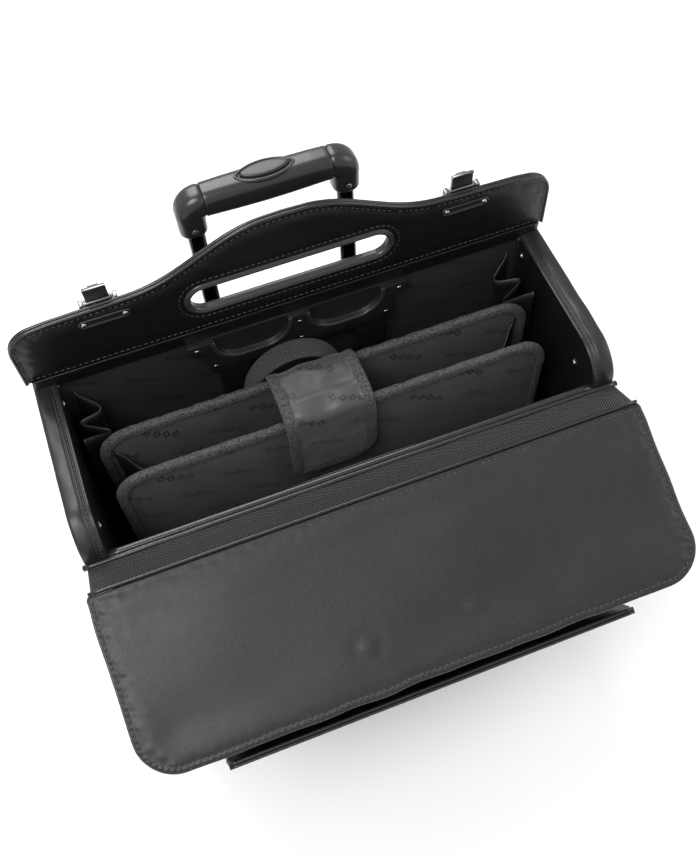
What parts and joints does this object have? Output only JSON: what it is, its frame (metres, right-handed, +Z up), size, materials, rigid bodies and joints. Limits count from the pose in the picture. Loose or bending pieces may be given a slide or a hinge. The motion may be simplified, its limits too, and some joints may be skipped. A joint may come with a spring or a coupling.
{
  "type": "rolling laptop case",
  "caption": "Top-loading black leather laptop case on two wheels with a telescopic trolley handle, folded-open lids, padded laptop sleeve and gaping front pocket.",
  "frame": {"origin": "middle of the object's bounding box, on the floor", "axes": "+Z up, +Y towards the trolley at the back, +X to the right as seen from the front"},
  "size_m": [0.477, 0.4034, 0.496],
  "materials": {
    "black_leather": "satin smooth leather",
    "smooth_leather": "satin polished leather",
    "grey_lining": "satin woven nylon",
    "webbing": "coarse ribbed nylon webbing",
    "black_plastic": "satin moulded plastic",
    "gunmetal": "dark nickel plate",
    "black_tube": "black anodised with bright edges",
    "steel": "bright",
    "rubber": "matt"
  },
  "bodies": {
    "case": {"front_wall": "black_leather", "back_wall": "black_leather", "left_side_wall": "black_leather", "right_side_wall": "black_leather", "bottom_panel": "black_leather", "left_rim_band": "smooth_leather", "right_rim_band": "smooth_leather", "front_rim_trim": "smooth_leather", "front_slip_pocket": "smooth_leather", "sleeve_rear_pad": "grey_lining", "sleeve_front_pad": "grey_lining", "sleeve_left_gusset": "grey_lining", "sleeve_right_gusset": "grey_lining", "webbing_loop": "webbing", "file_left_gusset": "grey_lining", "file_right_gusset": "grey_lining", "trolley_inner_plate": "black_plastic", "trolley_back_cover": "black_leather", "trolley_bezel": "black_plastic", "trolley_foot_bracket": "gunmetal", "left_outer_tube": "black_tube", "right_outer_tube": "black_tube", "left_wheel_housing": "black_plastic", "right_wheel_housing": "black_plastic", "wheel_axle": "steel", "left_front_foot": "black_plastic", "right_front_foot": "black_plastic", "front_pocket_base": "black_leather", "left_pocket_gusset": "black_leather", "right_pocket_gusset": "black_leather"},
    "hinge_strip": {"front_hinge_strip": "webbing"},
    "front_flap": {"front_flap_panel": "black_leather", "left_latch_catch": "gunmetal", "right_latch_catch": "gunmetal", "left_handle_post": "gunmetal", "right_handle_post": "gunmetal"},
    "carry_handle": {"carry_handle": "black_leather"},
    "rear_flap": {"rear_flap_panel": "black_leather", "slot_trim": "black_plastic", "left_latch_base": "gunmetal", "right_latch_base": "gunmetal", "left_backing_plate": "gunmetal", "right_backing_plate": "gunmetal"},
    "left_latch": {"left_latch_hasp": "gunmetal"},
    "right_latch": {"right_latch_hasp": "gunmetal"},
    "sleeve_strap": {"sleeve_strap": "grey_lining"},
    "front_pocket": {"front_pocket_panel": "black_leather"},
    "trolley_lower": {"left_middle_tube": "black_tube", "right_middle_tube": "black_tube"},
    "trolley_upper": {"left_inner_tube": "black_tube", "right_inner_tube": "black_tube", "grip_bar": "black_plastic", "left_grip_corner": "black_plastic", "right_grip_corner": "black_plastic"},
    "push_button": {"push_button": "black_plastic", "release_yoke": "steel"},
    "left_wheel": {"left_tyre": "rubber", "left_hub": "black_plastic"},
    "right_wheel": {"right_tyre": "rubber", "right_hub": "black_plastic"}
  },
  "joints": [
    {"name": "front_flap_hinge_strip", "type": "hinge", "parent": "case", "child": "hinge_strip", "pos_m": [0, -0.0291, 0.338], "axis": [1, 0, 0], "range_deg": [-61.3, 0]},
    {"name": "front_flap_hinge", "type": "hinge", "parent": "hinge_strip", "child": "front_flap", "pos_m": [0, -0.0598, 0.35481], "axis": [1, 0, 0], "range_deg": [-140.1, 0]},
    {"name": "carry_handle_swing", "type": "hinge", "parent": "front_flap", "child": "carry_handle", "pos_m": [0, -0.16241, 0.3001], "axis": [1, 0, 0], "range_deg": [-85, 0]},
    {"name": "rear_flap_hinge", "type": "hinge", "parent": "case", "child": "rear_flap", "pos_m": [0, 0.1277, 0.3785], "axis": [-1, 0, 0], "range_deg": [-90, 8]},
    {"name": "left_latch_hinge", "type": "hinge", "parent": "rear_flap", "child": "left_latch", "pos_m": [-0.158, 0.1399, 0.445], "axis": [-1, 0, 0], "range_deg": [0, 70]},
    {"name": "right_latch_hinge", "type": "hinge", "parent": "rear_flap", "child": "right_latch", "pos_m": [0.158, 0.1399, 0.445], "axis": [-1, 0, 0], "range_deg": [0, 70]},
    {"name": "sleeve_strap_hinge", "type": "hinge", "parent": "case", "child": "sleeve_strap", "pos_m": [0, 0.0762, 0.3555], "axis": [-1, 0, 0], "range_deg": [0, 90]},
    {"name": "front_pocket_hinge", "type": "hinge", "parent": "case", "child": "front_pocket", "pos_m": [0, -0.0663, 0.03], "axis": [-1, 0, 0], "range_deg": [0, 29], "deforming": ["left_pocket_gusset", "right_pocket_gusset"]},
    {"name": "trolley_lower_slide", "type": "slide", "parent": "case", "child": "trolley_lower", "axis": [0, 0, 1], "range_m": [0, 0.2]},
    {"name": "trolley_upper_slide", "type": "slide", "parent": "trolley_lower", "child": "trolley_upper", "axis": [0, 0, 1], "range_m": [-0.079, 0.16]},
    {"name": "push_button_press", "type": "slide", "parent": "trolley_upper", "child": "push_button", "axis": [0, 0, -1], "range_m": [0, 0.003], "stiffness_N_per_m": 800, "springref_m": -0.004},
    {"name": "left_wheel_spin", "type": "hinge", "parent": "case", "child": "left_wheel", "pos_m": [-0.213, 0.1717, 0.03], "axis": [1, 0, 0], "continuous": true},
    {"name": "right_wheel_spin", "type": "hinge", "parent": "case", "child": "right_wheel", "pos_m": [0.213, 0.1717, 0.03], "axis": [1, 0, 0], "continuous": true}
  ],
  "couplings": [
    {"joint": "front_flap_hinge_strip", "follows": "front_flap_hinge", "ratio": 0.4375}
  ]
}
